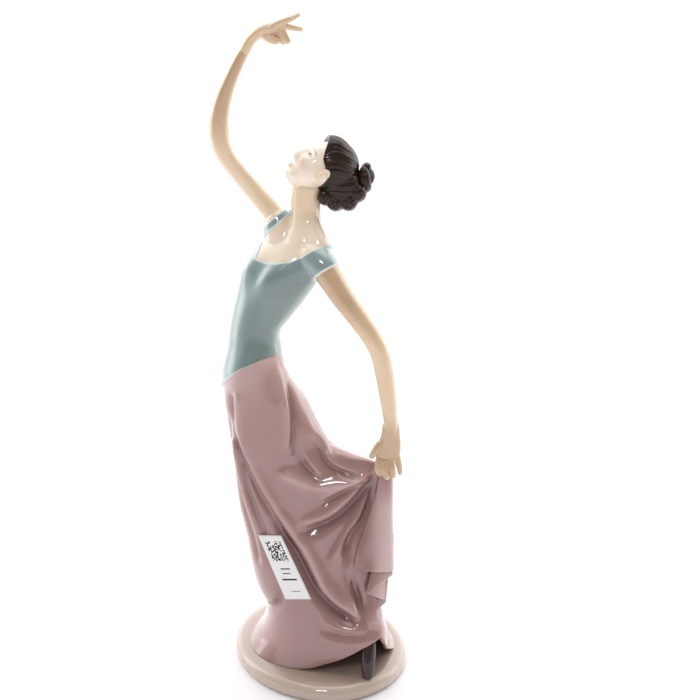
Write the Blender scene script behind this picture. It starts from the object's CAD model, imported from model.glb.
"""A glazed porcelain dancer on an oval plinth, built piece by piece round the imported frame.

Shapes are worked out in millimetres, in the frame's own axes, and scaled to metres when a piece is finished.
The dancer's hips stand towards -X, the viewer's side is -Y, and +Z is up.
"""
from math import atan2, cos, exp, pi, radians, sin, sqrt

import bmesh
import bpy
import numpy as np
from mathutils import Matrix, Vector, noise


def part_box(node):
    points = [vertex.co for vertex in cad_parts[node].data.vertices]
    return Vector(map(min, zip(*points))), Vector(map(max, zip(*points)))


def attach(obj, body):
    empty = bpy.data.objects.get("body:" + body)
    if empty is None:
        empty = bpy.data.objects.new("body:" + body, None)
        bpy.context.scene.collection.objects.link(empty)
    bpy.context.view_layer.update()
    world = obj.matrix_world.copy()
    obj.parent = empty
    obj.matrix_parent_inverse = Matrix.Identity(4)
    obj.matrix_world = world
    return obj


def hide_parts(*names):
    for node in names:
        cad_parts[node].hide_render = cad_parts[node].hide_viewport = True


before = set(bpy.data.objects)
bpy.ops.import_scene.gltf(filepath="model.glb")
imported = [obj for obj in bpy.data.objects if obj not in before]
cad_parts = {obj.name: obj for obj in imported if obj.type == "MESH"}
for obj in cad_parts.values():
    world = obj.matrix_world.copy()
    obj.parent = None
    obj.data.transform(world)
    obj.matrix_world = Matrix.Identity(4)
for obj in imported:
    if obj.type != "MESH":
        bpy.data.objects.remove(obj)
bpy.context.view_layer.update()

MM = 0.001
PLINTH_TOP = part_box("base_plinth")[1].z / MM
PLINTH_HALF = (50.8, 44.2)      # the plinth is a slight oval
PLINTH_TURN = -51.5             # its long axis runs out under the pointed foot, degrees from +X
PLINTH_PROFILE_HALF = 46.2      # half width of its turned profile, before that is stretched to the oval
FIGURE_X = 3.4                  # how far her own axis stands from the plinth's middle


# ---- colour and node helpers --------------------------------------------------------------------------
def srgb(code, alpha=1.0):
    """A hex colour as linear values for a socket."""
    levels = [int(code[i:i + 2], 16) / 255 for i in (1, 3, 5)]
    return tuple(c / 12.92 if c <= 0.04045 else ((c + 0.055) / 1.055) ** 2.4 for c in levels) + (alpha,)


def add_node(tree, kind, settings=None, **links):
    """Adds a node with its settings. A link's name is the input, with _ for a space; its value is a socket
    or a constant."""
    node = tree.nodes.new(kind)
    for name, value in (settings or {}).items():
        setattr(node, name, value)
    for name, value in links.items():
        key = int(name[1:]) if name[0] == "i" and name[1:].isdigit() else name.replace("_", " ")
        socket = node.inputs[key]
        if isinstance(value, bpy.types.NodeSocket):
            tree.links.new(value, socket)
        else:
            socket.default_value = value
    return node


def new_material(name):
    """An empty node material with an output."""
    material = bpy.data.materials.new(name)
    material.use_nodes = True
    material.node_tree.nodes.clear()
    return material, material.node_tree


def mixed(tree, factor, first, second, mode="MIX"):
    """Two colours mixed by a factor."""
    mix = add_node(tree, "ShaderNodeMix", {"data_type": "RGBA", "blend_type": mode, "clamp_factor": True})
    for socket, value in ((mix.inputs[0], factor), (mix.inputs[6], first), (mix.inputs[7], second)):
        if isinstance(value, bpy.types.NodeSocket):
            tree.links.new(value, socket)
        else:
            socket.default_value = value
    return mix.outputs[2]


def glaze_finish(tree, colour, sheen_bump, roughness, coat, mirror):
    """Glazed porcelain: a coloured body under a hard clear coat that mirrors the lights sharply."""
    shader = add_node(tree, "ShaderNodeBsdfPrincipled")
    tree.links.new(colour, shader.inputs["Base Color"])
    shader.inputs["Roughness"].default_value = roughness
    shader.inputs["IOR"].default_value = 1.5
    shader.inputs["Specular IOR Level"].default_value = mirror
    shader.inputs["Coat Weight"].default_value = coat
    shader.inputs["Coat Roughness"].default_value = 0.035
    shader.inputs["Coat IOR"].default_value = 1.55
    tree.links.new(sheen_bump, shader.inputs["Normal"])
    output = add_node(tree, "ShaderNodeOutputMaterial")
    tree.links.new(shader.outputs[0], output.inputs[0])
    return shader


def glaze_ripple(tree, coordinates):
    """Fired glaze is never dead flat: slow ripples about 6 mm apart, a few hundredths of a mm deep."""
    ripple = add_node(tree, "ShaderNodeTexNoise", {"noise_dimensions": "3D"}, Vector=coordinates,
                      Scale=1 / (6 * MM),
                      Detail=1.0)
    bump = add_node(tree, "ShaderNodeBump", Height=ripple.outputs[0], Strength=0.25, Distance=0.04 * MM)
    return bump.outputs[0]


def airbrushed(name, light, mid, dark, roughness=0.16, painted=False, coat=1.0, mirror=0.5):
    """An underglaze colour, airbrushed: darker where the tone attribute is low, as in folds, and paler on
    what stands proud, with soft clouds about 15 mm across from the spray."""
    material, tree = new_material(name)
    coordinates = add_node(tree, "ShaderNodeTexCoord").outputs["Object"]
    tone = add_node(tree, "ShaderNodeAttribute", {"attribute_name": "tone"}).outputs["Fac"]
    cloud = add_node(tree, "ShaderNodeTexNoise", Vector=coordinates, Scale=1 / (15 * MM), Detail=2.0)
    shift = add_node(tree, "ShaderNodeMath", {"operation": "MULTIPLY_ADD"}, i0=cloud.outputs[0], i1=0.10,
                     i2=-0.05)
    total = add_node(tree, "ShaderNodeMath", {"operation": "ADD", "use_clamp": True}, i0=tone,
                     i1=shift.outputs[0])
    ramp = add_node(tree, "ShaderNodeValToRGB", Fac=total.outputs[0])
    ramp.color_ramp.elements[0].color = srgb(dark)
    ramp.color_ramp.elements[1].color = srgb(light)
    ramp.color_ramp.elements.new(0.5).color = srgb(mid)
    colour = ramp.outputs[0]
    if painted:
        paint = add_node(tree, "ShaderNodeAttribute", {"attribute_name": "paint"})
        colour = mixed(tree, paint.outputs["Alpha"], colour, paint.outputs["Color"])
    glaze_finish(tree, colour, glaze_ripple(tree, coordinates), roughness, coat, mirror)
    return material


# ---- shape helpers ------------------------------------------------------------------------------------
def through(stations, t):
    """A smooth curve through stations of any length, at t from 0 to 1."""
    spans = len(stations) - 1
    t = min(max(t, 0.0), 1.0) * spans
    i = min(int(t), spans - 1)
    f = t - i
    p, q, r, s = (stations[min(max(i + k, 0), spans)] for k in (-1, 0, 1, 2))
    return [
        0.5 * (2 * b + (c - a) * f + (2 * a - 5 * b + 4 * c - d) * f * f + (3 * b - a - 3 * c + d) * f**3)
        for a, b, c, d in zip(p, q, r, s)
    ]


def rounded_end(v, start, end):
    """How much a limb's section shrinks near its two rounded ends, which take these shares of its length."""
    k = 1.0
    if start and v < start:
        k = sqrt(max(0.0, 1 - (1 - v / start) ** 2))
    if end and v > 1 - end:
        k = sqrt(max(0.0, 1 - (1 - (1 - v) / end) ** 2))
    return k


def wrapped(around, along, place, closed=True):
    """A grid wrapped into a tube or laid as a sheet: place(u, v) gives each point in millimetres."""
    bm = bmesh.new()
    bmesh.ops.create_grid(bm, x_segments=around, y_segments=along, size=1.0)
    for vert in bm.verts:
        vert.co = place((vert.co.x + 1) / 2, (vert.co.y + 1) / 2)
    if closed:
        bmesh.ops.remove_doubles(bm, verts=bm.verts, dist=1e-4)
        rims = [edge for edge in bm.edges if edge.is_boundary]
        if rims:
            bmesh.ops.holes_fill(bm, edges=rims)
    bmesh.ops.recalc_face_normals(bm, faces=bm.faces)
    return bm


def limb(stations, side, around=28, along=56, ends=(0.03, 0.03)):
    """A limb through (x, y, z, half width along side, half depth) stations."""
    side = Vector(side)

    def place(u, v):
        x, y, z, wide, deep = through(stations, v)
        ahead = Vector(through(stations, min(v + 0.01, 1))[:3])
        behind = Vector(through(stations, max(v - 0.01, 0))[:3])
        run = (ahead - behind).normalized()
        across = (side - run * side.dot(run)).normalized()
        other = run.cross(across)
        k = rounded_end(v, *ends)
        return Vector((x, y,
                       z)) + across * (wide * k * cos(2 * pi * u)) + other * (deep * k * sin(2 * pi * u))

    return wrapped(around, along, place)


def ball(centre, axes, sizes, detail=4):
    """An ellipsoid on its own axes."""
    bm = bmesh.new()
    bmesh.ops.create_icosphere(bm, subdivisions=detail, radius=1.0)
    first, second, third = (Vector(a).normalized() for a in axes)
    for vert in bm.verts:
        x, y, z = vert.co
        vert.co = Vector(centre) + first * (x * sizes[0]) + second * (y * sizes[1]) + third * (z * sizes[2])
    bmesh.ops.recalc_face_normals(bm, faces=bm.faces)
    return bm


def modified(bm, kind, **settings):
    """The bmesh after one modifier."""
    mesh = bpy.data.meshes.new("work")
    bm.to_mesh(mesh)
    bm.free()
    work = bpy.data.objects.new("work", mesh)
    bpy.context.scene.collection.objects.link(work)
    modifier = work.modifiers.new("step", kind)
    for name, value in settings.items():
        setattr(modifier, name, value)
    result = bpy.data.meshes.new_from_object(work.evaluated_get(bpy.context.evaluated_depsgraph_get()))
    out = bmesh.new()
    out.from_mesh(result)
    bpy.data.objects.remove(work)
    bpy.data.meshes.remove(mesh)
    bpy.data.meshes.remove(result)
    return out


def fused(parts, voxel=0.35, smoothing=4):
    """Several closed forms luted into one skin, with the joints smoothed over as a wet sponge does."""
    whole = bmesh.new()
    for part in parts:
        mesh = bpy.data.meshes.new("part")
        part.to_mesh(mesh)
        part.free()
        whole.from_mesh(mesh)
        bpy.data.meshes.remove(mesh)
    whole = modified(whole, "REMESH", mode="VOXEL", voxel_size=voxel, use_smooth_shade=True)
    for _ in range(smoothing):
        bmesh.ops.smooth_vert(whole, verts=whole.verts, factor=0.5, use_axis_x=True, use_axis_y=True,
                              use_axis_z=True)
    return whole


def cut_away(bm, origin, normal, close=True):
    """Removes what lies on the side the normal points to, and closes the cut."""
    geometry = bm.verts[:] + bm.edges[:] + bm.faces[:]
    made = bmesh.ops.bisect_plane(bm, geom=geometry, plane_co=origin, plane_no=normal, clear_outer=True)
    if close:
        rim = [e for e in made["geom_cut"] if isinstance(e, bmesh.types.BMEdge)]
        filled = bmesh.ops.holes_fill(bm, edges=rim)["faces"]
        for face in filled:
            for edge in face.edges:
                edge.smooth = False
    return bm


def finished(bm, name, material, nodes, levels=0, tone=None, solid=None, stand=FIGURE_X):
    """Makes the piece's object in metres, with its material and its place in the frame."""
    if tone is not None:
        bm.normal_update()
        layer = bm.verts.layers.float.new("tone")
        for vert in bm.verts:
            vert[layer] = tone(vert)
    bmesh.ops.translate(bm, vec=(stand, 0, 0), verts=bm.verts)
    bmesh.ops.scale(bm, vec=(MM, MM, MM), verts=bm.verts)
    for face in bm.faces:
        face.smooth = True
    mesh = bpy.data.meshes.new(name)
    bm.to_mesh(mesh)
    bm.free()
    mesh.materials.append(material)
    piece = bpy.data.objects.new(name, mesh)
    bpy.context.scene.collection.objects.link(piece)
    if solid:
        wall = piece.modifiers.new("wall", "SOLIDIFY")
        wall.thickness = solid * MM
        wall.offset = -1
    if levels:
        smoother = piece.modifiers.new("smooth", "SUBSURF")
        smoother.levels = levels
        smoother.render_levels = levels
    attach(piece, "root")
    if nodes:
        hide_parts(*nodes)
    return piece


def smooth_step(low, high, x):
    """0 below low, 1 above high, smooth between."""
    t = min(max((x - low) / (high - low), 0.0), 1.0)
    return t * t * (3 - 2 * t)


def shaded(vert):
    """The airbrush darkens what faces front or back and leaves the flanks pale: 0 on a flank, 1 face on."""
    return smooth_step(0.25, 0.95, abs(vert.normal.y))


# ---- materials ----------------------------------------------------------------------------------------
SKIN = airbrushed("Cream flesh underglaze, clear glazed", "#FBEFDE", "#E3C7A2", "#8F6038")
PAINTED_SKIN = airbrushed("Cream flesh underglaze with brushed features, clear glazed", "#FBEFDE", "#E3C7A2",
                          "#8F6038", painted=True)
BODICE = airbrushed("Grey-green underglaze, clear glazed", "#DDE9E7", "#A0B4B0", "#3C524E")
SKIRT = airbrushed("Dusty mauve underglaze, clear glazed", "#DCC3BE", "#A47D78", "#5E3834")
PLINTH = airbrushed("Warm grey underglaze, clear glazed", "#D8C6B8", "#B8A394", "#8C7468")
SLIPPER = airbrushed("Dark plum underglaze, clear glazed", "#5E4646", "#382626", "#1A1010", coat=0.45,
                     mirror=0.25)
HAIR = airbrushed("Dark brown underglaze, clear glazed", "#5A381C", "#29170B", "#100803", roughness=0.3,
                  coat=0.35, mirror=0.15)


# ---- plinth -------------------------------------------------------------------------------------------
def make_plinth():
    """A slightly oval slab, long under the pointed foot, with a bare foot ring and a rounded rim."""
    profile = [(39.2, 3.0), (39.2, 0.4), (39.6, 0.0), (43.8, 0.0), (45.2, 0.8), (46.1, 2.6), (46.2, 4.4),
               (45.8, 6.2), (44.5, 7.8), (42.4, 8.8), (39.0, 9.3), (30.0, PLINTH_TOP), (14.0,
                                                                                        PLINTH_TOP + 0.1),
               (3.0, PLINTH_TOP + 0.1), (3.0, 3.2)]
    bm = bmesh.new()
    verts = [bm.verts.new((radius, 0, height)) for radius, height in profile]
    edges = [bm.edges.new(pair) for pair in zip(verts, verts[1:] + verts[:1])]
    bmesh.ops.spin(bm, geom=verts + edges, axis=(0, 0, 1), cent=(0, 0, 0), steps=128, angle=2 * pi,
                   use_merge=True)
    bmesh.ops.remove_doubles(bm, verts=bm.verts, dist=1e-4)
    bmesh.ops.recalc_face_normals(bm, faces=bm.faces)
    bmesh.ops.scale(bm, vec=(PLINTH_HALF[0] / PLINTH_PROFILE_HALF, PLINTH_HALF[1] / PLINTH_PROFILE_HALF, 1),
                    verts=bm.verts)
    bmesh.ops.rotate(bm, matrix=Matrix.Rotation(radians(PLINTH_TURN), 3, "Z"), verts=bm.verts)

    def tone(vert):
        return 0.64 - 0.28 * smooth_step(7.5, 9.2, vert.co.z)

    return finished(bm, "plinth", PLINTH, ["base_plinth"], levels=2, tone=tone, stand=0)


# ---- skirt --------------------------------------------------------------------------------------------
# height, left, right, middle y, half depth, pinch of the right end, shift of its tip in y; from the hem up
SKIRT_STATIONS = [
    (PLINTH_TOP, -41.5, 37.0, 0.0, 32.5, 0.00, -8),
    (14, -38.6, 34.6, 0.0, 31.5, 0.00, -12),
    (20, -34.8, 33.2, 0.0, 31.0, 0.05, -19),
    (28, -32.3, 32.4, 0.0, 29.8, 0.10, -23),
    (36, -32.6, 30.6, 0.0, 28.2, 0.15, -22),
    (45, -37.0, 29.0, 0.0, 27.0, 0.22, -20),
    (57, -39.6, 27.0, -1.0, 26.0, 0.35, -18),
    (75, -42.0, 26.0, -1.5, 25.0, 0.50, -16),
    (92, -45.1, 26.0, -2.0, 23.5, 0.60, -15),
    (106, -46.4, 27.0, -2.0, 22.4, 0.68, -15),
    (115, -47.4, 28.5, -2.0, 21.8, 0.78, -15),
    (118.6, -47.7, 26.0, -2.0, 21.6, 0.80, -14),
    (121, -48.0, 14.0, -1.8, 21.4, 0.66, -10),
    (124, -48.3, 4.0, -1.4, 21.0, 0.45, -6),
    (130, -49.0, -1.8, -1.0, 20.3, 0.22, -3),
    (138, -49.8, -7.0, -0.5, 19.3, 0.08, -1),
    (149, -50.6, -12.6, 0.0, 18.0, 0.00, 0),
    (157, -51.2, -16.8, 0.0, 17.2, 0.00, 0),
    (163.8, -51.6, -20.6, 0.0, 16.6, 0.00, 0),
]
# The waist seam is a slanting plane: high on her near hip, low at the front and the far side.
SEAM_POINT = Vector((-36.0, 0.0, 163.0))
SEAM_NORMAL = Vector((-0.383, 0.430, 0.817)).normalized()
BOXINESS = 0.85
# where the hem is raised: degrees round from +X towards +Y, and the height of the edge there
HEM = [(-180, PLINTH_TOP), (-122, PLINTH_TOP), (-108, 9.8), (-94, 12.4), (-75, 18.2), (-56, 24.8),
       (-40, 28.2),
       (-28, 29.6), (-20, 28.6), (-14, 20.0), (-8, 11.0), (-4, PLINTH_TOP), (180, PLINTH_TOP)]
# Folds: depth and width of the crease, height and width of the ridge beside it, and points in x and z.
# A positive ridge width puts the ridge on the left of the direction the points run in.
FRONT_FOLDS = [
    (2.2, 1.7, 1.2, 4.0,
     [(-46.2, 158), (-46.6, 148), (-45.0, 132), (-40.4, 119), (-34, 105.5), (-27, 94), (-20, 81)]),
    (4.6, 2.6, 2.2, 5.0,
     [(-27, 94), (-20, 81), (-14.5, 73), (-9, 62), (-4, 52.5), (4, 44.5), (14, 39.5), (23, 38.5)]),
    (1.6, 1.3, 0.9, -2.4, [(-45.6, 132), (-44, 127), (-39, 105), (-31.8, 85), (-29, 78)]),
    (1.5, 1.4, 0.8, 2.6, [(-49, 146), (-47.2, 123), (-42.8, 98.6), (-37, 78), (-34.4, 62)]),
    (2.4, 1.5, 1.3, -3.0,
     [(-19.4, 168), (-17.2, 158), (-15.8, 150), (-15.2, 141), (-15.4, 132), (-16.4, 124)]),
    (2.4, 2.0, 0.8, 3.0, [(-14.4, 131), (-11.5, 123), (-8, 117), (-4, 112.5), (1, 110.6)]),
    (0.0, 1.0, 2.6, 0.0,
     [(-24, 117), (-16.5, 114), (-8.5, 110.5), (0, 109), (9, 110.6), (17, 112.4), (25, 116)]),
    (2.6, 1.6, 1.0, 2.6, [(-3, 99.5), (1, 100.5), (9, 104.8), (17.5, 110), (24.5, 115)]),
    (4.2, 2.5, 1.8, 4.2,
     [(-15, 84.5), (-8, 85.6), (2.6, 89.5), (9.8, 94.4), (17, 102), (22, 109), (26.5, 116)]),
    (3.2, 2.0, 0.8, -3.4, [(26.4, 114), (24, 103), (19.5, 91), (13.6, 83), (11, 76), (11, 67)]),
    (1.6, 2.4, 0.9, 3.6, [(22.5, 104), (14, 92), (6, 80), (1, 70)]),
    (2.4, 1.6, 1.4, 2.8, [(-6, 135), (-2.6, 128), (0.6, 121.5), (6.4, 116.9), (14.5, 114.4), (22, 115.2)]),
    (0.0, 1.0, 1.0, 0.0, [(-11, 148), (-7.5, 139), (-2.6, 131), (4, 123.6)]),
    (3.6, 2.4, 1.2, -3.4, [(13.4, 66), (15, 57), (17.2, 49), (19.4, 41), (20.8, 35)]),
    (1.8, 2.4, 0.8, -3.0, [(-22.6, 54), (-23.4, 45), (-27, 39), (-33, 32)]),
    (1.4, 2.4, 1.6, 2.4, [(-4, 36), (5, 33.0), (14.3, 32.4), (23, 33.0)]),
    (0.0, 1.0, 1.8, 0.0, [(10, 40.5), (17, 40.0), (24, 39.6), (30, 35)]),
]
BACK_FOLDS = [
    (2.2, 2.0, 1.6, 4.0, [(-41, 150), (-38, 120), (-33, 84), (-27, 50), (-26, 14)]),
    (2.6, 2.2, 1.8, 4.2, [(-31, 158), (-28, 124), (-21, 88), (-13, 52), (-9, 14)]),
    (2.6, 2.2, 1.8, 4.2, [(-21, 152), (-17, 122), (-8, 92), (3, 58), (9, 16)]),
    (2.4, 2.2, 1.6, 4.0, [(24, 112), (12, 100), (6, 82), (14, 56), (22, 24)]),
    (1.8, 2.0, 1.2, 3.0, [(-46, 140), (-43, 104), (-38, 70), (-34, 44)]),
]


def fold_depths(x, z, folds):
    """How far the folds move each point out, for arrays of x and z."""
    total = np.zeros_like(x)
    for depth, width, rise, reach, points in folds:
        steps = 12 * (len(points) - 1)
        line = [through(points, i / steps) for i in range(steps + 1)]
        length = sum(sqrt((b[0] - a[0]) ** 2 + (b[1] - a[1]) ** 2) for a, b in zip(line, line[1:]))
        nearest = np.full_like(x, 1e9)
        along = np.zeros_like(x)
        side = np.ones_like(x)
        for i, ((ax, az), (bx, bz)) in enumerate(zip(line, line[1:])):
            dx, dz = bx - ax, bz - az
            t = np.clip(((x - ax) * dx + (z - az) * dz) / (dx * dx + dz * dz), 0, 1)
            away = np.hypot(x - ax - t * dx, z - az - t * dz)
            closer = away < nearest
            nearest = np.where(closer, away, nearest)
            along = np.where(closer, (i + t) / steps * length, along)
            side = np.where(closer, np.sign(dx * (z - az) - dz * (x - ax)), side)
        fade_length = min(0.4 * length, 3.5 * width + 5)
        fade = np.clip(np.minimum(along, length - along) / fade_length, 0, 1)
        fade = fade * fade * (3 - 2 * fade)
        total -= depth * fade * np.exp(-((nearest / width) ** 2))
        if reach:
            across = side * np.sign(reach) * nearest
            total += rise * fade * np.exp(-(((across - abs(reach) * 0.9) / (abs(reach) * 0.75)) ** 2))
        else:
            total += rise * fade * np.exp(-((nearest / 3.4) ** 2))
    return total


def skirt_point(u, v):
    """A point of the skirt's outside before its folds: u goes round from +X, v from the hem to the waist."""
    angle = 2 * pi * u
    degrees = (360 * u + 180) % 360 - 180
    heights = [station[0] for station in SKIRT_STATIONS]
    edge = float(np.interp(degrees, [h[0] for h in HEM], [h[1] for h in HEM]))
    low = float(np.interp(edge, heights, range(len(heights)))) / (len(heights) - 1)
    level = low + (1 - low) * v
    height, left, right, middle, half_depth, pinch, tip = through(SKIRT_STATIONS, level)
    rightness = (1 + cos(angle)) / 2
    depth = half_depth * (1 - pinch * rightness)
    x = (left + right) / 2 + (right - left) / 2 * cos(angle)
    y = middle + tip * rightness**2 + depth * sin(angle) * (abs(sin(angle)) + 1e-9) ** (BOXINESS - 1)
    tilt = smooth_step(112, 163, height)
    slope = -(SEAM_NORMAL.x * (x - SEAM_POINT.x) + SEAM_NORMAL.y * (y - SEAM_POINT.y)) / SEAM_NORMAL.z
    waist = smooth_step(140, 164, height)
    hips = torso_point(-u - 58 / 360, 1 / 11)
    x += (hips.x - x) * waist
    y += (hips.y - y) * waist
    return Vector((x, y, height + tilt * slope))


def make_skirt():
    """The cast skirt: a plain form first, then every fold pressed into it, then its wall."""
    bm = wrapped(260, 240, skirt_point, closed=False)
    bmesh.ops.remove_doubles(bm, verts=bm.verts, dist=1e-4)
    bmesh.ops.recalc_face_normals(bm, faces=bm.faces)
    bm.normal_update()
    layer = bm.verts.layers.float.new("tone")
    verts = bm.verts[:]
    x, y, z = (np.array([v.co[i] for v in verts]) for i in range(3))
    normals = np.array([v.normal for v in verts])
    front = np.clip((-normals[:, 1] + 0.15) / 0.5, 0, 1)
    back = np.clip((normals[:, 1] + 0.15) / 0.5, 0, 1)
    depth = front * fold_depths(x, z, FRONT_FOLDS) + back * fold_depths(x, z, BACK_FOLDS)
    rise = (SEAM_NORMAL.x * (x - SEAM_POINT.x) + SEAM_NORMAL.y * (y - SEAM_POINT.y)) / SEAM_NORMAL.z
    waist = np.clip((SEAM_POINT.z - rise - z) / 6, 0, 1)
    foot = np.clip((z - PLINTH_TOP) / 3, 0, 1)
    depth = depth * waist * (0.35 + 0.65 * foot)
    for vert, move, normal in zip(verts, depth, normals):
        sideways = Vector((normal[0], normal[1], normal[2] * 0.3))
        vert.co += sideways * float(move)
        facing = 0.16 * smooth_step(0.3, 0.95, abs(float(normal[1])))
        vert[layer] = min(max(0.60 - facing + 0.16 * smooth_step(135, 165, vert.co.z) + float(move) * 0.08,
                              0), 1)
    for _ in range(5):
        bmesh.ops.smooth_vert(bm, verts=bm.verts, factor=0.4, use_axis_x=True, use_axis_y=True,
                              use_axis_z=True)
    return finished(bm, "skirt_shell", SKIRT, ["skirt"], solid=2.2)


def cloth_strip(rows, along=40, around=60):
    """A sheet of cloth lofted through rows of points, each row from one edge of the cloth to the other."""
    def place(u, v):
        row = [through(r, u) for r in rows]
        return Vector(through(row, v))
    return wrapped(around, along, place, closed=False)


def make_flounce():
    """The corner of cloth under the hand: a bell flattened from front to back, opening downwards."""
    rows = [
        [(35.0, -17.0, 118), (33.5, -20.5, 118), (30.5, -21.5, 118), (28.0, -20.5, 118), (28.5, -17.5, 118)],
        [(35.4, -17.0, 106), (34.0, -21.5, 106), (30.6, -23.5, 106), (26.4, -22.0, 106), (26.5, -18.0, 106)],
        [(35.6, -17.0, 92), (34.0, -22.5, 92), (29.5, -25.5, 92), (22.4, -24.5, 92), (22.5, -20.0, 92)],
        [(36.0, -17.5, 76), (34.2, -24.0, 76), (27.5, -28.5, 76), (17.6, -27.5, 77), (17.5, -22.0, 78)],
        [(36.3, -18.0, 62), (34.6, -25.5, 63.5), (26.5, -31.0, 66), (15.6, -29.5, 67), (15.2, -23.5, 68)],
    ]
    bm = cloth_strip(rows)

    def tone(vert):
        edge = smooth_step(19, 30, vert.co.x) * smooth_step(120, 95, vert.co.z)
        return 0.36 + 0.36 * edge - 0.2 * smooth_step(34, 36.5, vert.co.x)

    return finished(bm, "flounce", SKIRT, ["skirt_flounce"], levels=1, tone=tone, solid=1.4)


def make_cascade():
    """The zigzag of hem that steps down behind the flounce: a pleated fall with its edge cut on the slant."""
    top = [(35.0, -20.5), (25.0, -25.0), (33.0, -20.5), (24.0, -24.0)]
    foot = [(34.6, -23.5, 60.5), (21.8, -31.6, 54.5), (31.8, -26.0, 46.0), (18.8, -31.0, 37.5)]
    rows = [[(x, y, z + rise) for (x, y), (_, _, z) in zip(top, foot)] for rise in (22, 11)]
    rows.append(foot)

    def place(u, v):
        corners = [through(row, u) for row in rows]
        sharp = [Vector(through(corners, v))]
        span = min(int(u * 3), 2)
        share = u * 3 - span
        straight = []
        for row in rows:
            start, end = Vector(row[span]), Vector(row[span + 1])
            straight.append(tuple(start.lerp(end, share)))
        return sharp[0].lerp(Vector(through(straight, v)), 0.72)

    bm = wrapped(90, 24, place, closed=False)
    return finished(bm, "hem_zigzag", SKIRT, ["hem_cascade"], levels=1,
                    tone=lambda vert: 0.42 + 0.4 * smooth_step(20, 32, vert.co.x), solid=1.2)


# ---- body ---------------------------------------------------------------------------------------------
# centre, normal, degrees she faces round from the viewer, half width, half depth
TORSO = [
    (-36.6, 0.0, 150.0, 0.00, 0.00, 1.00, 58, 17.6, 15.2),
    (-36.0, 0.0, 163.0, 0.00, 0.00, 1.00, 58, 17.0, 14.8),
    (-35.0, 0.0, 175.0, 0.00, 0.00, 1.00, 56, 15.0, 12.7),
    (-34.3, 0.2, 186.5, 0.10, 0.02, 0.99, 53, 13.4, 11.3),
    (-29.2, 1.0, 199.0, 0.38, 0.07, 0.90, 48, 15.4, 12.6),
    (-23.4, 1.8, 210.5, 0.44, 0.10, 0.88, 43, 18.0, 14.0),
    (-17.4, 1.8, 221.0, 0.38, 0.08, 0.91, 42, 18.8, 12.6),
    (-12.4, 1.6, 229.5, 0.26, 0.04, 0.96, 44, 14.4, 9.4),
    (-9.4, 2.2, 236.5, 0.12, 0.05, 1.00, 50, 9.4, 8.0),
    (-8.7, 2.8, 243.5, 0.02, 0.05, 1.00, 58, 7.5, 7.3),
    (-8.5, 3.0, 250.5, 0.04, 0.05, 1.00, 66, 7.3, 7.3),
    (-6.8, 3.2, 258.0, 0.20, 0.05, 1.00, 72, 7.5, 7.6),
]


def torso_point(u, v, swell=0.0):
    """A point of the torso's skin, which swells outwards by so much under cloth."""
    values = through(TORSO, v)
    centre = Vector(values[:3])
    normal = Vector(values[3:6]).normalized()
    facing = radians(values[6])
    wide, deep = values[7] + swell, values[8] + swell
    front = Vector((-sin(facing), -cos(facing), 0))
    front = (front - normal * front.dot(normal)).normalized()
    left = normal.cross(front)
    angle = 2 * pi * u
    round_up = 0.94
    across = wide * cos(angle) * (abs(cos(angle)) + 1e-9) ** (round_up - 1)
    ahead = deep * sin(angle) * (abs(sin(angle)) + 1e-9) ** (round_up - 1)
    point = centre + left * across + front * ahead
    height = v * (len(TORSO) - 1)
    for side in (-1, 1):
        bust = exp(-((across - side * 8.0) / 5.6) ** 2 - ((height - 5.1) / 0.75) ** 2)
        point += front * (2.6 * bust if ahead > 0 else 0.0)
    for side in (-1, 1):
        collar = exp(-((height - 7.1 + 0.02 * abs(across)) / 0.10) ** 2) * smooth_step(1.2, 3.5,
                                                                                       side * across)
        point += front * (0.55 * collar * smooth_step(14, 9, side * across) if ahead > 0 else 0.0)
    spine = exp(-((across / 3.0) ** 2)) * (1.1 if ahead < 0 else 0.0) * smooth_step(7.5, 5.5, height)
    return point + front * spine


# x, y, z, half width, half depth
RIGHT_SHOULDER = [(-19.5, 4.0, 225.0, 9.4, 10.0), (-20.6, 5.0, 232.0, 8.6, 8.8),
                  (-22.2, 6.2, 238.5, 7.2, 7.4),
                  (-25.6, 7.4, 243.6, 5.8, 6.0)]
NEAR_SLOPE = [(-7.0, 1.0, 243.0, 5.6, 5.2), (-5.2, -1.4, 236.4, 6.4, 5.6), (-2.0, -5.2, 230.6, 6.4, 5.8),
              (1.4, -9.2, 225.4, 6.2, 5.6)]
LEFT_SHOULDER = [(-10.0, -3.0, 226.0, 8.8, 8.4), (-4.0, -8.0, 224.0, 8.2, 7.8), (0.4, -11.8, 220.6, 7.6, 7.3),
                 (3.4, -14.0, 216.4, 7.0, 6.8)]
RIGHT_ARM = [
    (-22.6, 6.6, 240.0, 5.6, 5.8), (-27.0, 8.2, 245.6, 5.0, 5.2), (-33.0, 8.8, 252.8, 4.5, 4.9),
    (-39.8, 8.4, 261.2, 4.3, 4.6), (-45.6, 7.4, 269.0, 4.4, 4.6), (-49.0, 6.4, 276.8, 4.8, 4.7),
    (-49.6, 5.4, 286.0, 4.9, 4.6), (-47.4, 3.8, 296.6, 4.4, 4.0), (-42.6, 1.8, 308.0, 3.8, 3.2),
    (-37.6, 0.2, 317.4, 3.15, 2.7), (-34.6, -0.5, 321.8, 2.7, 2.2),
]
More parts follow.
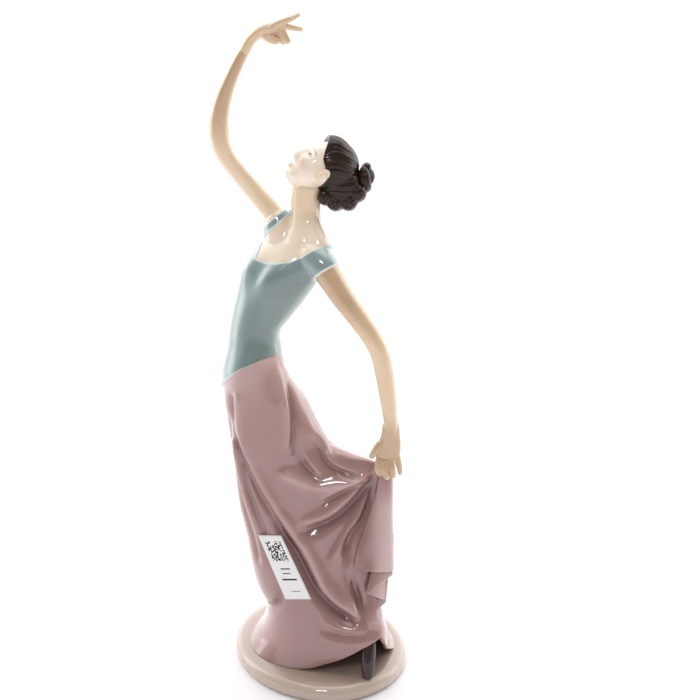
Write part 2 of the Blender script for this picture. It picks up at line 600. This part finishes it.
LEFT_ARM = [
    (1.2, -12.2, 219.6, 6.8, 6.6), (4.4, -14.6, 214.6, 6.7, 6.4), (9.6, -17.6, 206.8, 6.0, 5.9),
    (17.0, -20.8, 197.4, 5.4, 5.3), (23.2, -23.0, 189.0, 5.0, 5.0),
    (27.4, -24.0, 180.6, 4.9, 4.9), (29.9, -23.6, 169.0, 4.8, 4.7), (31.8, -22.6, 155.5, 4.4, 4.2),
    (32.9, -21.2, 146.0, 4.35, 3.7), (33.3, -20.4, 139.8, 4.2, 3.4), (33.4, -20.3, 134.0, 3.2, 2.5),
]


def cloth_inside(point):
    """How far a point is inside the edges of the bodice and its bands, in millimetres; negative outside.

    The top edge dips across the chest and rises to the near shoulder; a strap climbs the far side to a ring
    round the raised arm; both arms leave through cut edges; the waist seam ends it below."""
    along = (point - Vector((-15.0, 1.8, 0.0))).dot(Vector((0.731, -0.682, 0.0)))
    inside = 221.9 + 10.0 * (along / 22.0) ** 2 - point.z
    far_side = (point - Vector((-26.4, 0.0, 237.6))).dot(Vector((-0.925, 0.0, 0.385)))
    inside = max(inside, min(far_side, 240.0 - point.z))
    from_ring = point - Vector((-22.4, 6.2, 239.8))
    ring = from_ring.dot(Vector((-0.66, 0.14, 0.74)))
    if from_ring.length < 16 and point.z > 229:
        inside = max(inside, 2.1 - abs(ring))
        inside = min(inside, 2.1 - ring)
    from_cuff = point - Vector((2.0, -13.6, 218.8))
    arm_run = Vector((0.50, -0.33, -0.80))
    down_arm = from_cuff.dot(arm_run)
    if down_arm > -2 and (from_cuff - arm_run * down_arm).length < 9.8 and down_arm < 14:
        inside = min(inside, 0.4 - down_arm)
    return min(inside, (point - SEAM_POINT).dot(SEAM_NORMAL))


def body_form():
    """Torso, neck and the tops of both arms, luted into one closed form."""
    parts = [wrapped(96, 150, torso_point), limb(RIGHT_SHOULDER, (0, 1, 0), ends=(0.35, 0.2)),
             limb(LEFT_SHOULDER, (0, 1, 0), ends=(0.35, 0.2)), limb(NEAR_SLOPE, (0, 1, 0), ends=(0.3, 0.3))]
    return fused(parts, voxel=0.42, smoothing=36)


def make_body():
    """The bare neck and chest, and the bodice with its two bands laid over them."""
    bust = body_form()
    dress = bust.copy()
    cut_away(bust, (-17.0, -4.0, 208.0), (-0.20, -0.10, -0.97))
    finished(bust, "neck_and_shoulders", SKIN, ["neck_and_chest"],
             tone=lambda vert: 0.86 - 0.20 * smooth_step(232, 248, vert.co.z) - 0.10 * shaded(vert))
    dress.normal_update()
    moves = [cloth_inside(vert.co) for vert in dress.verts]
    layer = dress.verts.layers.float.new("tone")
    for vert, inside in zip(dress.verts, moves):
        edge = smooth_step(1.4, 0.4, inside)
        vert[layer] = 0.66 + 0.1 * smooth_step(212, 222,
                                               vert.co.z) - 0.46 * shaded(vert) * (1 - edge) + 0.24 * edge
        below = (vert.co - SEAM_POINT).dot(SEAM_NORMAL)
        sink = 1.7 * smooth_step(0.35, -0.35, inside) + 3.5 * smooth_step(-0.5, -5.0, below)
        vert.co += vert.normal * (0.6 - sink)
    cut_away(dress, (0, 0, 246.0), (0, 0, 1))
    finished(dress, "bodice_and_bands", BODICE, ["bodice", "right_sleeve", "left_sleeve"])


def make_arms():
    """The two arms, each up to its wrist."""
    right = limb(RIGHT_ARM, (0, 1, 0), around=36, along=110, ends=(0.03, 0.015))
    left = limb(LEFT_ARM, (0, 1, 0), around=36, along=110, ends=(0.03, 0.015))
    finished(right, "raised_arm", SKIN, ["right_arm"],
             tone=lambda vert: 0.84 - 0.34 * smooth_step(262, 296, vert.co.z) - 0.28 * shaded(vert))
    finished(left, "lowered_arm", SKIN, ["left_arm"],
             tone=lambda vert: 0.72 - 0.22 * smooth_step(180, 212, vert.co.z) - 0.2 * smooth_step(152, 138,
                                                                                                  vert.co.z)
             - 0.22 * shaded(vert))


def digit(points, side=(0, 1, 0)):
    """A finger through (x, y, z, radius) points, a little thicker at its joints."""
    return limb([(x, y, z, r, r) for x, y, z, r in points], side, around=18, along=36, ends=(0.05, 0.1))


RIGHT_HAND = {
    "palm": [(-38.6, 0.6, 315.6, 2.2, 1.9), (-35.4, -0.4, 320.8, 3.0, 2.6), (-32.8, -0.8, 325.0, 3.1, 2.5),
             (-28.4, -1.2, 328.6, 3.8, 2.7),
             (-23.6, -1.8, 330.2, 4.8, 3.0), (-19.4, -2.4, 330.8, 4.2, 2.2)],
    "index": [(-22.0, -4.4, 331.4, 1.5), (-18.6, -5.2, 332.8, 1.5), (-14.2, -5.6, 334.4, 1.35),
              (-9.4, -5.8, 336.6, 1.0)],
    "middle": [(-21.0, -2.8, 330.8, 1.6), (-17.0, -3.4, 331.2, 1.5), (-12.6, -3.8, 330.4, 1.35),
               (-8.4, -4.0, 329.6, 1.0)],
    "ring": [(-21.8, -1.0, 330.0, 2.2), (-18.6, -1.8, 328.8, 2.3), (-16.4, -2.6, 325.8, 1.9),
             (-14.8, -3.4, 323.6, 1.3)],
    "little": [(-23.6, 1.0, 329.6, 2.2), (-20.8, 0.2, 327.6, 2.3), (-18.2, -1.0, 325.0, 1.8),
               (-17.0, -2.0, 323.2, 1.2)],
    "thumb": [(-27.0, -2.6, 328.2, 2.2), (-24.0, -4.0, 326.0, 2.2), (-21.4, -4.8, 324.8, 1.8),
              (-19.2, -4.8, 324.6, 1.2)],
}
LEFT_HAND = {
    "palm": [(33.0, -20.6, 147.0, 3.0, 2.6), (33.2, -20.4, 141.5, 4.3, 3.55),
             (33.2, -20.3, 136.5, 4.9, 3.4), (32.6, -20.6, 131.0, 5.9, 3.1),
             (31.7, -21.2, 126.0, 6.1, 2.9), (31.2, -21.4, 122.0, 5.2, 2.4)],
    "index": [(27.8, -22.4, 125.0, 2.0), (26.9, -24.0, 121.4, 1.9), (27.4, -24.2, 118.4, 1.7),
              (28.8, -22.8, 116.2, 1.2)],
    "middle": [(30.7, -23.4, 124.0, 2.0), (30.2, -25.1, 120.4, 1.9), (30.8, -25.2, 117.0, 1.7),
               (32.0, -23.8, 115.0, 1.2)],
    "ring": [(33.7, -23.0, 124.4, 2.0), (34.0, -24.7, 120.6, 1.8), (34.4, -24.8, 117.4, 1.6),
             (35.0, -23.4, 115.6, 1.1)],
    "little": [(36.4, -21.4, 126.0, 1.8), (37.4, -22.0, 122.0, 1.6), (38.0, -22.0, 118.6, 1.4),
               (38.2, -21.6, 115.8, 1.0)],
    "thumb": [(28.8, -21.0, 133.0, 2.4), (26.4, -22.0, 130.2, 2.1), (24.6, -22.6, 127.6, 1.8),
              (23.2, -22.4, 125.2, 1.2)],
}


def make_hand(shape, name, palm_side, nodes, tone):
    """A palm and its five fingers, luted together."""
    parts = [limb(shape["palm"], palm_side, around=32, along=40, ends=(0.06, 0.2))]
    parts += [digit(shape[finger]) for finger in ("index", "middle", "ring", "little", "thumb")]
    return finished(fused(parts, voxel=0.22, smoothing=6), name, SKIN, nodes,
                    tone=lambda vert: tone - 0.12 * shaded(vert))


def hand_nodes(side):
    """The frame's nodes of one hand."""
    return [f"{side}_palm"] + [f"{side}_{finger}" for finger in (
        "index_finger", "middle_finger", "ring_finger", "little_finger", "thumb")]


# ---- head ---------------------------------------------------------------------------------------------
HEAD_CENTRE = Vector((-0.8, 3.0, 264.5))
HEAD_UP = Vector((0.815, 0.02, 0.58)).normalized()
FACE = Vector((-0.57, -0.14, 0.81))
FACE = (FACE - HEAD_UP * FACE.dot(HEAD_UP)).normalized()
HEAD_LEFT = HEAD_UP.cross(FACE)
HEAD_AXES = (HEAD_LEFT, FACE, HEAD_UP)


def on_head(across, forward, up):
    """A point of the head, in millimetres to her left, forward and up from its centre."""
    return HEAD_CENTRE + HEAD_LEFT * across + FACE * forward + HEAD_UP * up


def head_ball(across, forward, up, wide, deep, tall, detail=4):
    """An ellipsoid in the head's own axes."""
    return ball(on_head(across, forward, up), HEAD_AXES, (wide, deep, tall), detail)


def bump(x, y, at_x, at_y, wide, tall):
    """A soft round swelling at a place on the face."""
    return exp(-(((x - at_x) / wide) ** 2) - ((y - at_y) / tall) ** 2)


NOSE_RISE = [(-8.4, 0.0), (-7.6, 0.3), (-7.0, 1.9), (-6.2, 3.0), (-5.2, 2.9), (-3.4, 2.2), (-1.4, 1.4),
             (0.6, 0.7),
             (2.6, 0.2), (5.0, 0.0)]


def feature(across, up):
    """How far the features stand out at a place across and up from the middle of the face, which is laid out
    in thirds from hairline to brow to nose to chin."""
    side = abs(across)
    nose_width = 1.5 + 0.9 * smooth_step(0.0, -6.0, up)
    rise = float(np.interp(up, [n[0] for n in NOSE_RISE], [n[1] for n in NOSE_RISE]))
    total = rise * exp(-((across / nose_width) ** 2))
    total += 0.7 * bump(side, up, 1.9, -6.4, 0.9, 0.8)
    total -= 1.5 * bump(side, up, 3.9, 0.5, 2.3, 1.6)
    total += 1.0 * bump(side, up, 3.9, 0.2, 1.7, 0.95)
    total += 0.5 * bump(side, up, 4.2, 2.9, 3.2, 0.9)
    total += 0.4 * bump(side, up, 5.4, -4.4, 2.6, 2.6)
    total += 0.9 * bump(across, up, 0, -9.4, 2.5, 0.65) + 1.0 * bump(across, up, 0, -10.8, 2.2, 0.75)
    total -= 0.45 * bump(across, up, 0, -10.05, 2.8, 0.28)
    total -= 0.6 * bump(across, up, 0, -12.2, 2.8, 0.8)
    return total + 1.0 * bump(across, up, 0, -14.2, 2.8, 1.6)


def face_paint(across, up):
    """The colour brushed on at a place on the face and how strongly: lips, brows, lashes, eyes, cheeks."""
    side = abs(across)
    lid = 0.2 + 0.95 * (1 - ((side - 3.9) / 1.9) ** 2)
    lower = 0.2 - 0.55 * (1 - ((side - 3.9) / 1.9) ** 2)
    if 2.0 < side < 5.9 and abs(up - lid) < 0.26:
        return "#3A2A22", 0.9
    if 2.1 < side < 5.7 and lower < up < lid:
        reach = sqrt((side - 3.9) ** 2 + (up - 0.45) ** 2)
        return ("#3B342E", 0.95) if reach < 0.4 else (("#6E7F80", 0.9) if reach < 0.85 else ("#EDE8E0", 0.9))
    brow = 3.0 + 0.7 * (1 - ((side - 4.3) / 2.8) ** 2)
    if 1.8 < side < 6.9 and abs(up - brow) < 0.3:
        return "#6B4A34", 0.6
    lips = bump(across, up, 0, -10.0, 2.6, 1.3)
    if lips > 0.34 and -11.6 < up < -8.8:
        return "#B8665A", 0.65
    return "#C98A6E", 0.35 * bump(side, up, 6.0, -4.6, 2.6, 2.4)


def make_head():
    """A skull, a face, a jaw and a throat luted together, then the features raised and painted."""
    parts = [
        head_ball(0, -1.6, 4.4, 11.2, 13.0, 11.6, 5),
        head_ball(0, 2.8, -1.4, 9.6, 9.6, 12.6, 5),
        head_ball(0, 4.8, -9.4, 6.9, 6.6, 6.6, 5),
        head_ball(0, -2.4, -10.2, 7.0, 7.4, 6.6, 5),
    ]
    bm = fused(parts, voxel=0.26, smoothing=60)
    paint = bm.verts.layers.float_color.new("paint")
    for vert in bm.verts:
        offset = vert.co - HEAD_CENTRE
        across, forward, up = offset.dot(HEAD_LEFT), offset.dot(FACE), offset.dot(HEAD_UP)
        facing = smooth_step(2.0, 6.0, forward)
        vert.co += FACE * (feature(across, up) * facing)
        colour, strength = face_paint(across, up)
        vert[paint] = srgb(colour, strength * facing)
    for _ in range(2):
        bmesh.ops.smooth_vert(bm, verts=bm.verts, factor=0.5, use_axis_x=True, use_axis_y=True,
                              use_axis_z=True)
    return finished(bm, "head", PAINTED_SKIN, ["head"],
                    tone=lambda vert: 0.88 - 0.26 * smooth_step(262, 252, vert.co.z))


def make_ears():
    """Small ears, leaning back: a rim round a shallow shell, and a lobe."""
    lean = (HEAD_UP * 0.96 - FACE * 0.28).normalized()
    fore = HEAD_LEFT.cross(lean) * -1
    for side, name in ((1, "left_ear"), (-1, "right_ear")):
        centre = on_head(side * 10.9, 0.7, 0.4)
        out = HEAD_LEFT * side
        rim = []
        for i in range(9):
            angle = radians(-75 + 240 * i / 8)
            point = centre + lean * (3.0 * sin(angle)) - fore * (1.9 * cos(angle)) + out * (0.9 + 0.3 * cos(angle))
            rim.append((*point, 0.55, 0.75))
        parts = [limb(rim, out, around=12, along=60, ends=(0.05, 0.05)),
                 ball(centre + out * 0.2, (fore, lean, out), (1.9, 3.0, 0.9), 3),
                 ball(centre - lean * 3.0 + out * 0.6, (fore, lean, out), (1.3, 1.3, 0.8), 3)]
        finished(fused(parts, voxel=0.18, smoothing=5), name, SKIN, [name],
                 tone=lambda vert: 0.62)


BUN_CENTRE = on_head(0, -15.2, 15.6)
BUN_AXIS = (HEAD_UP * 0.8 - FACE * 0.61).normalized()
HAIRLINE = [(-9.2, -16.0), (-8.6, -10.0), (-6.4, -4.6), (-3.9, -4.2), (0.6, -2.8), (2.6, 1.4), (4.6, 6.4),
            (7.8, 8.9),
            (12.6, 11.6), (18.0, 13.0)]


def strand_grooves(point, count, depth):
    """How deep the comb has cut here: grooves that run to the knot, as meridians run to a pole."""
    offset = point - BUN_CENTRE
    flat = offset - BUN_AXIS * offset.dot(BUN_AXIS)
    angle = atan2(flat.dot(HEAD_LEFT), flat.dot(HEAD_LEFT.cross(BUN_AXIS)))
    wander = noise.noise(point * 0.09) * 1.6
    return depth * (0.6 * sin(count * angle + wander * 4) + 0.4 * sin(count * 2.3 * angle + wander * 7))


def make_hair():
    """Hair combed back off the face: a full front, a lower swell behind, both running into the knot."""
    parts = [head_ball(0, -1.0, 5.2, 12.2, 13.6, 13.2, 5), head_ball(0, 2.4, 8.6, 9.8, 10.4, 9.4, 5),
             head_ball(0, -11.4, 3.2, 11.0, 11.8, 11.6, 5)]
    bm = fused(parts, voxel=0.4, smoothing=6)
    bm.normal_update()
    moves = []
    for vert in bm.verts:
        offset = vert.co - HEAD_CENTRE
        forward, up = offset.dot(FACE), offset.dot(HEAD_UP)
        line = float(np.interp(up, [h[0] for h in HAIRLINE], [h[1] for h in HAIRLINE]))
        sink = smooth_step(-0.4, 2.2, forward - line)
        cut = strand_grooves(vert.co, 22, 0.16) * smooth_step(0.5, -4, forward - line)
        moves.append((cut, sink))
    tone_layer = bm.verts.layers.float.new("tone")
    for vert, (cut, sink) in zip(bm.verts, moves):
        vert[tone_layer] = min(max(0.42 + cut * 1.1, 0), 1)
        vert.co += vert.normal * (cut - 5.0 * sink)
    doomed = [face for face in bm.faces if all(moves[v.index][1] > 0.98 for v in face.verts)]
    bmesh.ops.delete(bm, geom=doomed, context="FACES")
    rims = [edge for edge in bm.edges if edge.is_boundary]
    bmesh.ops.holes_fill(bm, edges=rims)
    finished(bm, "combed_hair", HAIR, ["hair_cap"])


def coil(centre, axis, radius, thick, turns, rise, start, lean=0.0, steps=60):
    """A thick strand wound round an axis."""
    first = HEAD_LEFT.cross(axis).normalized()
    second = axis.cross(first)
    points = []
    for i in range(steps + 1):
        t = i / steps
        angle = start + 2 * pi * turns * t
        reach = radius * (1 - lean * t)
        point = centre + first * (reach * cos(angle)) + second * (reach * sin(angle)) + axis * (rise * t)
        swell = sin(pi * min(t * 1.15 + 0.08, 1)) ** 0.5
        points.append((*point, thick * swell, thick * swell))
    return limb(points, axis, around=30, along=steps * 3, ends=(0.02, 0.02))


def groove_strand(bm, depth=0.10, pitch=1.3):
    """Cuts fine combed lines into rolled hair."""
    bm.normal_update()
    tone_layer = bm.verts.layers.float.new("tone")
    for vert in bm.verts:
        offset = vert.co - BUN_CENTRE
        along = offset.dot(BUN_AXIS)
        radial = (offset - BUN_AXIS * along).length
        cut = sin(2 * pi * (radial + along * 0.8) / pitch + noise.noise(vert.co * 0.2) * 2)
        vert.co += vert.normal * (cut * depth)
        vert[tone_layer] = min(max(0.40 + cut * 0.2, 0), 1)
    return bm


def make_bun():
    """The knot: one thick strand wound round itself, with a small loop on top."""
    parts = [coil(BUN_CENTRE - BUN_AXIS * 1.5, BUN_AXIS, 4.9, 3.4, 1.25, 3.2, 0.4),
             ball(BUN_CENTRE + BUN_AXIS * 1.2, (HEAD_LEFT, BUN_AXIS, HEAD_LEFT.cross(BUN_AXIS)),
                  (4.2, 3.2, 4.2), 4)]
    bm = groove_strand(fused(parts, voxel=0.3, smoothing=6))
    finished(bm, "hair_knot", HAIR, ["hair_bun"])


def make_nape_roll():
    """The roll of hair round the nape, pinched into lobes."""
    parts = []
    for forward, up, size in ((-19.6, 7.6, 4.6), (-20.6, 1.6, 4.6), (-17.2, -3.6, 4.4), (-12.4, -5.8, 4.2)):
        for across in (-6.4, 0, 6.4):
            inwards = 1.4 if across else 0.0
            parts.append(head_ball(across, forward + inwards * 1.6, up + inwards * 0.4, size, size, size, 3))
    bm = groove_strand(fused(parts, voxel=0.35, smoothing=8), depth=0.10, pitch=1.7)
    finished(bm, "nape_roll", HAIR, ["nape_roll"])


# ---- foot ---------------------------------------------------------------------------------------------
def make_foot():
    """The dark slipper on its toe, and the ankle that goes up inside the skirt."""
    slipper = limb([(22.0, -38.4, PLINTH_TOP - 0.4, 2.6, 2.2), (22.1, -37.8, 12.5, 3.3, 2.8),
                    (22.3, -36.0, 18, 3.8, 3.2),
                    (22.5, -33.4, 24, 3.9, 3.4), (22.4, -30.4, 30, 3.7, 3.4)], (1, 0, 0), ends=(0.06, 0.05))
    finished(slipper, "toe_slipper", SLIPPER, ["slipper"], levels=1, tone=lambda vert: 0.5)
    ankle = limb([(22.5, -31.4, 28, 3.5, 3.2), (21.2, -27.6, 36, 3.2, 3.0), (18.2, -21.0, 46, 3.8, 3.6),
                  (12.6, -12.0, 59, 4.8, 4.6)], (1, 0, 0), ends=(0.05, 0.05))
    finished(ankle, "ankle", SLIPPER, ["ankle"], levels=1, tone=lambda vert: 0.4)


def make_label():
    """The paper stock label: a thin curling card with a generic block pattern and grey bars, no lettering."""
    top_left = Vector((-33.9, -20.3, 81.7))
    top_right = Vector((-22.1, -21.4, 82.2))
    bottom_left = Vector((-20.3, -24.5, 47.3))
    bottom_right = Vector((-6.8, -28.3, 49.6))
    across = top_right - top_left
    down = bottom_left - top_left
    out = across.cross(down).normalized()
    if out.y > 0:
        out = -out

    def place(u, v):
        flat = top_left.lerp(top_right, u).lerp(bottom_left.lerp(bottom_right, u), 1 - v)
        return flat + out * (0.8 + 0.3 * sin(pi * v) + 0.4 * (1 - v) ** 3)

    bm = bmesh.new()
    bmesh.ops.create_grid(bm, x_segments=12, y_segments=30, size=1.0)
    layer = bm.loops.layers.uv.new("card")
    for face in bm.faces:
        for loop in face.loops:
            loop[layer].uv = ((loop.vert.co.x + 1) / 2, (loop.vert.co.y + 1) / 2)
    for vert in bm.verts:
        vert.co = place((vert.co.x + 1) / 2, (vert.co.y + 1) / 2)
    bm.normal_update()
    if next(iter(bm.faces)).normal.dot(out) < 0:
        bmesh.ops.reverse_faces(bm, faces=bm.faces)
    finished(bm, "stock_label", paper_card(), ["stock_label"], solid=0.3)


def paper_card():
    """Uncoated white paper, printed with a square of random cells and a few bars."""
    material, tree = new_material("White paper card, generic print")
    card = add_node(tree, "ShaderNodeUVMap", {"uv_map": "card"}).outputs[0]
    split = add_node(tree, "ShaderNodeSeparateXYZ", Vector=card)
    width, height = 14.0, 36.5

    def inside(socket, low, high):
        above = add_node(tree, "ShaderNodeMath", {"operation": "GREATER_THAN"}, i0=socket, i1=low)
        below = add_node(tree, "ShaderNodeMath", {"operation": "LESS_THAN"}, i0=socket, i1=high)
        return add_node(tree, "ShaderNodeMath", {"operation": "MULTIPLY"}, i0=above.outputs[0],
                        i1=below.outputs[0]).outputs[0]

    def both(first, second):
        return add_node(tree, "ShaderNodeMath", {"operation": "MULTIPLY"}, i0=first, i1=second).outputs[0]

    def either(first, second):
        return add_node(tree, "ShaderNodeMath", {"operation": "MAXIMUM"}, i0=first, i1=second).outputs[0]

    cell = 0.60
    scaled = add_node(tree, "ShaderNodeVectorMath", {"operation": "MULTIPLY"}, i0=card,
                      i1=(width / cell, height / cell, 1))
    snapped = add_node(tree, "ShaderNodeVectorMath", {"operation": "FLOOR"}, i0=scaled.outputs[0])
    scatter = add_node(tree, "ShaderNodeTexWhiteNoise", {"noise_dimensions": "2D"}, Vector=snapped.outputs[0])
    dots = add_node(tree, "ShaderNodeMath", {"operation": "GREATER_THAN"}, i0=scatter.outputs[0], i1=0.5)
    square = both(inside(split.outputs[0], 0.18, 0.84), inside(split.outputs[1], 0.60, 0.91))
    ink = both(dots.outputs[0], square)
    for low, high, left, right in ((0.47, 0.49, 0.34, 0.72), (0.40, 0.415, 0.34, 0.66),
                                   (0.30, 0.325, 0.22, 0.80),
                                   (0.12, 0.13, 0.38, 0.72)):
        ink = either(ink, both(inside(split.outputs[1], low, high), inside(split.outputs[0], left, right)))
    colour = mixed(tree, ink, srgb("#F4F3F1"), srgb("#1C1C1E"))
    shader = add_node(tree, "ShaderNodeBsdfPrincipled")
    tree.links.new(colour, shader.inputs["Base Color"])
    shader.inputs["Roughness"].default_value = 0.75
    output = add_node(tree, "ShaderNodeOutputMaterial")
    tree.links.new(shader.outputs[0], output.inputs[0])
    return material


# ---- studio -------------------------------------------------------------------------------------------
def make_studio():
    """A flat pale floor, a soft white surround, lights at the sides, top and front, and the camera."""
    material, tree = new_material("Pale matt studio floor")
    shader = add_node(tree, "ShaderNodeBsdfPrincipled")
    shader.inputs["Base Color"].default_value = srgb("#FCFBFD")
    shader.inputs["Roughness"].default_value = 0.7
    output = add_node(tree, "ShaderNodeOutputMaterial")
    tree.links.new(shader.outputs[0], output.inputs[0])
    bm = bmesh.new()
    bmesh.ops.create_circle(bm, cap_ends=True, segments=96, radius=40)
    mesh = bpy.data.meshes.new("floor")
    bm.to_mesh(mesh)
    bm.free()
    mesh.materials.append(material)
    floor = bpy.data.objects.new("floor", mesh)
    bpy.context.scene.collection.objects.link(floor)

    world = bpy.data.worlds.new("Soft white tent")
    bpy.context.scene.world = world
    world.use_nodes = True
    tree = world.node_tree
    tree.nodes.clear()
    direction = add_node(tree, "ShaderNodeTexCoord").outputs["Generated"]
    split = add_node(tree, "ShaderNodeSeparateXYZ", Vector=direction)
    front = add_node(tree, "ShaderNodeMapRange", {"interpolation_type": "SMOOTHSTEP"}, Value=split.outputs[1])
    front.inputs["From Min"].default_value = -0.45
    front.inputs["From Max"].default_value = 0.65
    front.inputs["To Min"].default_value = 0.36
    front.inputs["To Max"].default_value = 1.9
    background = add_node(tree, "ShaderNodeBackground", Color=(1.0, 0.985, 1.0, 1))
    tree.links.new(front.outputs[0], background.inputs["Strength"])
    output = add_node(tree, "ShaderNodeOutputWorld")
    tree.links.new(background.outputs[0], output.inputs[0])

    for name, place, aim, size, power in (
        ("left soft box", (-0.9, 0.25, 0.5), (0, 0, 0.17), (0.4, 1.0), 1.6),
        ("right soft box", (0.9, 0.2, 0.5), (0, 0, 0.17), (0.4, 1.0), 1.4),
        ("top soft box", (0.0, 0.0, 1.1), (0, 0, 0.1), (0.8, 0.6), 1.8),
        ("front glint", (-0.2, -0.8, 0.95), (0, 0, 0.12), (0.2, 0.12), 1.8),
    ):
        light = bpy.data.lights.new(name, "AREA")
        light.shape = "RECTANGLE"
        light.size, light.size_y = size
        light.energy = power
        lamp = bpy.data.objects.new(name, light)
        lamp.location = place
        lamp.rotation_euler = (Vector(aim) - Vector(place)).to_track_quat("-Z", "Y").to_euler()
        bpy.context.scene.collection.objects.link(lamp)

    lens = bpy.data.cameras.new("view")
    lens.sensor_width = 36
    lens.lens = 55.44
    camera = bpy.data.objects.new("view", lens)
    camera.location = (0.0164, -0.518, 0.340)
    camera.rotation_euler = (radians(90 - 17.7), 0, 0)
    bpy.context.scene.collection.objects.link(camera)
    bpy.context.scene.camera = camera
    bpy.context.scene.view_settings.view_transform = "Standard"


make_plinth()
make_skirt()
make_flounce()
make_cascade()
make_body()
make_arms()
make_hand(RIGHT_HAND, "raised_hand", (0, 1, 0), hand_nodes("right"), 0.5)
make_hand(LEFT_HAND, "lifting_hand", (1, 0, 0), hand_nodes("left"), 0.42)
make_head()
make_ears()
make_hair()
make_bun()
make_nape_roll()
make_foot()
make_label()
make_studio()
